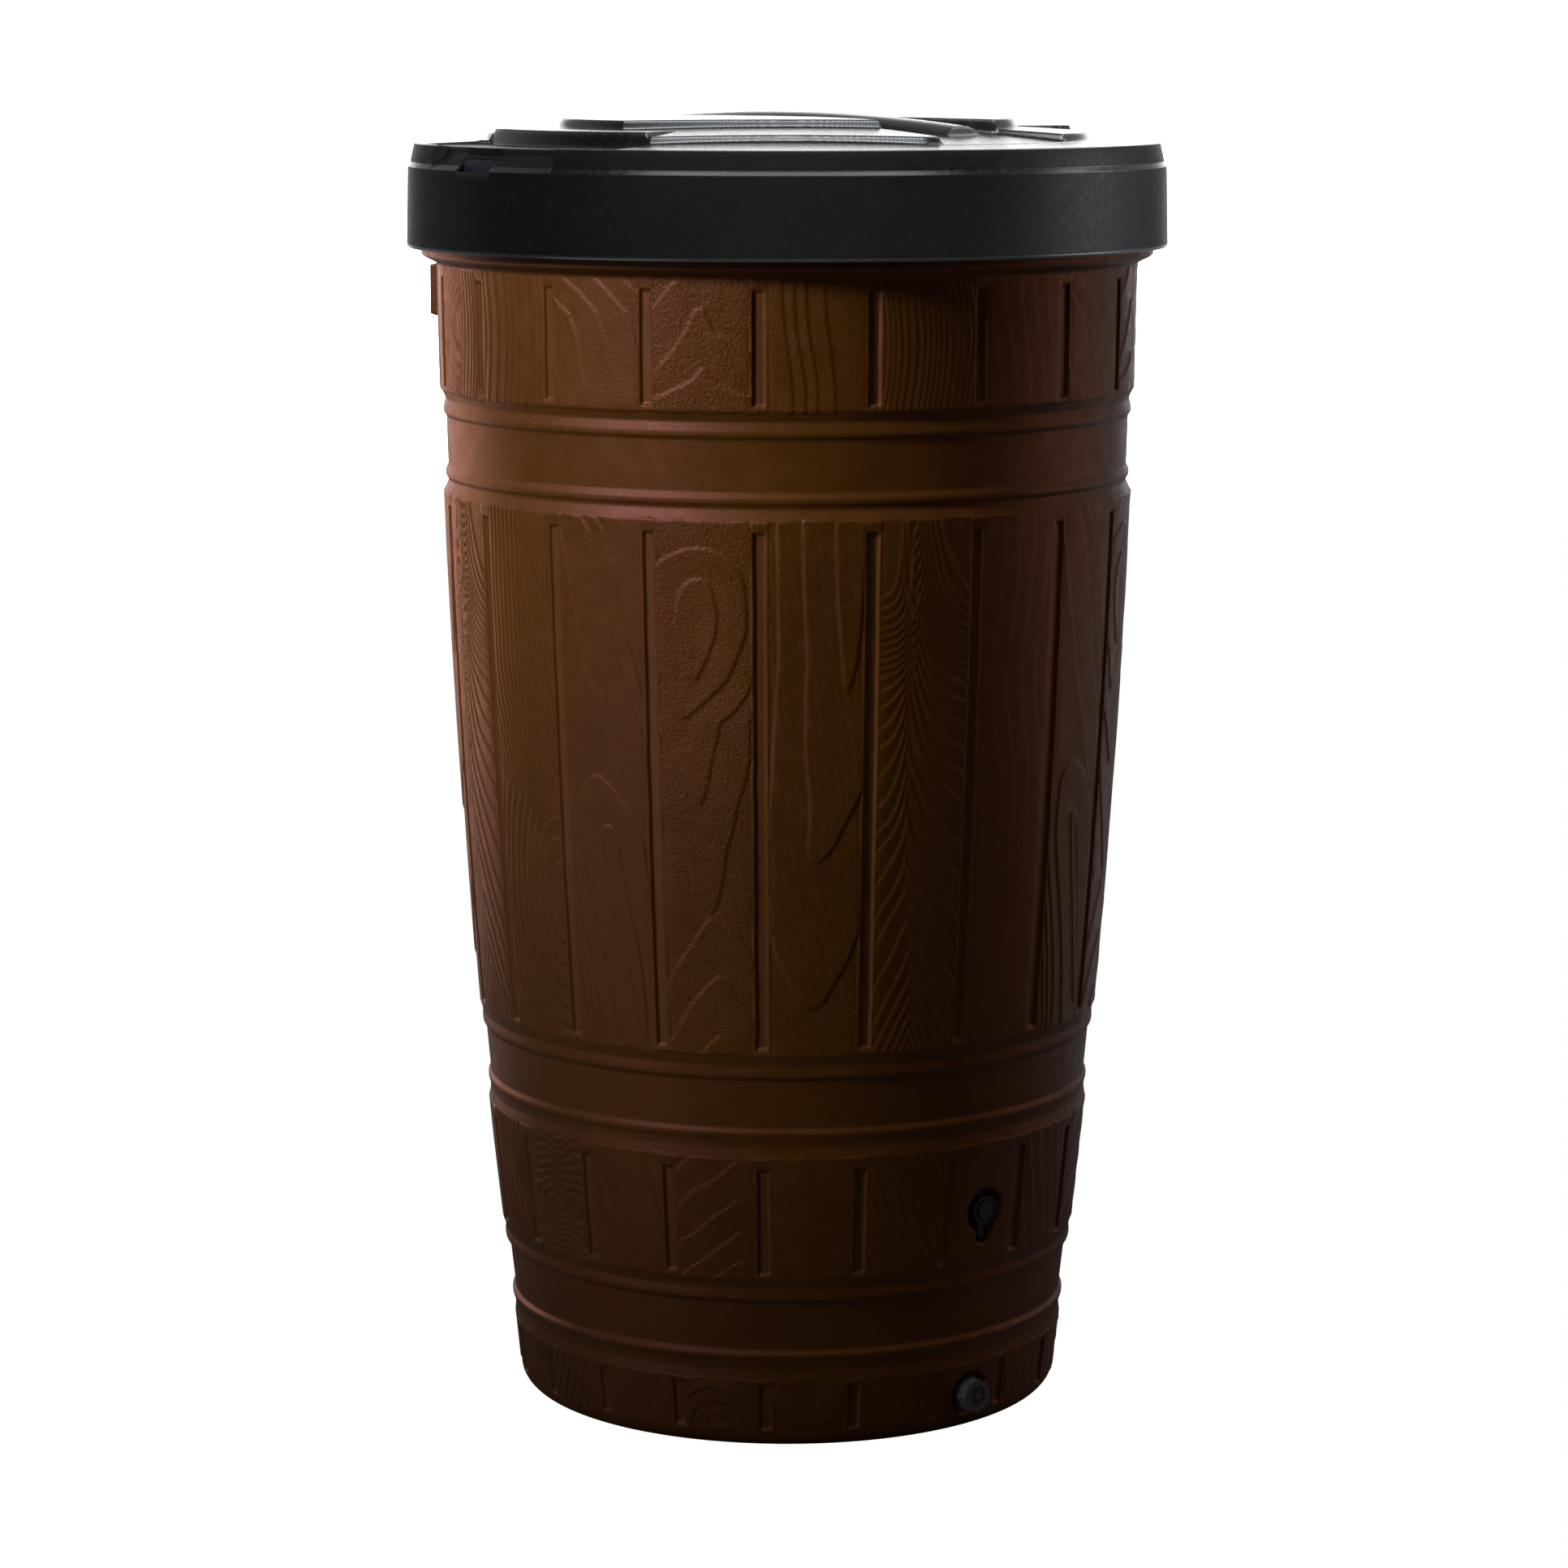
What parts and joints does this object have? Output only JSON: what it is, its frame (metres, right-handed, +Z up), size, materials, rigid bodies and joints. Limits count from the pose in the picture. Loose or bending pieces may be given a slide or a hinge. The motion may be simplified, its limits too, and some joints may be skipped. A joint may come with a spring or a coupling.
{
  "type": "rain barrel",
  "caption": "Tapered plank-look rain barrel with hoops, a lift-off lid with a moulded grip, a turn tap and a screwed drain cap.",
  "frame": {"origin": "centre of the underside, on the ground", "axes": "+Z up along the barrel's axis, front towards -Y, both fittings at the front right (+X, -Y)"},
  "size_m": [0.6982, 0.6982, 1.193],
  "materials": {
    "barrel_plastic": "satin wood-grain moulded polyethylene",
    "lid_plastic": "fine matt",
    "fitting_plastic": "satin",
    "cover_plastic": "satin",
    "valve_plastic": "satin",
    "clip_steel": "brushed",
    "seal_rubber": "matte"
  },
  "bodies": {
    "barrel": {"barrel_body": "barrel_plastic", "tap_body": "fitting_plastic", "tap_outer_washer": "seal_rubber", "tap_inner_washer": "seal_rubber", "tap_lock_nut": "fitting_plastic", "drain_spigot": "fitting_plastic", "drain_inner_washer": "seal_rubber", "drain_outer_washer": "seal_rubber", "drain_lock_nut": "fitting_plastic"},
    "lid": {"lid": "lid_plastic"},
    "tap_handle": {"tap_valve_plug": "valve_plastic", "tap_plug_seals": "seal_rubber", "tap_retaining_clip": "clip_steel", "tap_knob": "fitting_plastic", "tap_knob_screw": "clip_steel", "tap_knob_cover": "cover_plastic"},
    "drain_seal": {"drain_cap_seal": "seal_rubber"},
    "drain_cap": {"drain_cap": "fitting_plastic"}
  },
  "joints": [
    {"name": "lid_lift", "type": "slide", "parent": "barrel", "child": "lid", "axis": [0, 0, 1], "range_m": [0, 0.25]},
    {"name": "tap_turn", "type": "hinge", "parent": "barrel", "child": "tap_handle", "pos_m": [0.17311, -0.20197, 0.211], "axis": [0.6508, -0.7593, 0], "range_deg": [0, 90]},
    {"name": "drain_cap_travel", "type": "slide", "parent": "barrel", "child": "drain_seal", "axis": [0.6508, -0.7593, 0], "range_m": [0, 0.0078]},
    {"name": "drain_cap_turn", "type": "hinge", "parent": "drain_seal", "child": "drain_cap", "pos_m": [0.1692, -0.19741, 0.0355], "axis": [0.6508, -0.7593, 0], "range_deg": [0, 1530]}
  ],
  "couplings": [
    {"joint": "drain_cap_travel", "follows": "drain_cap_turn", "m_per_rad": 0.00028871}
  ]
}
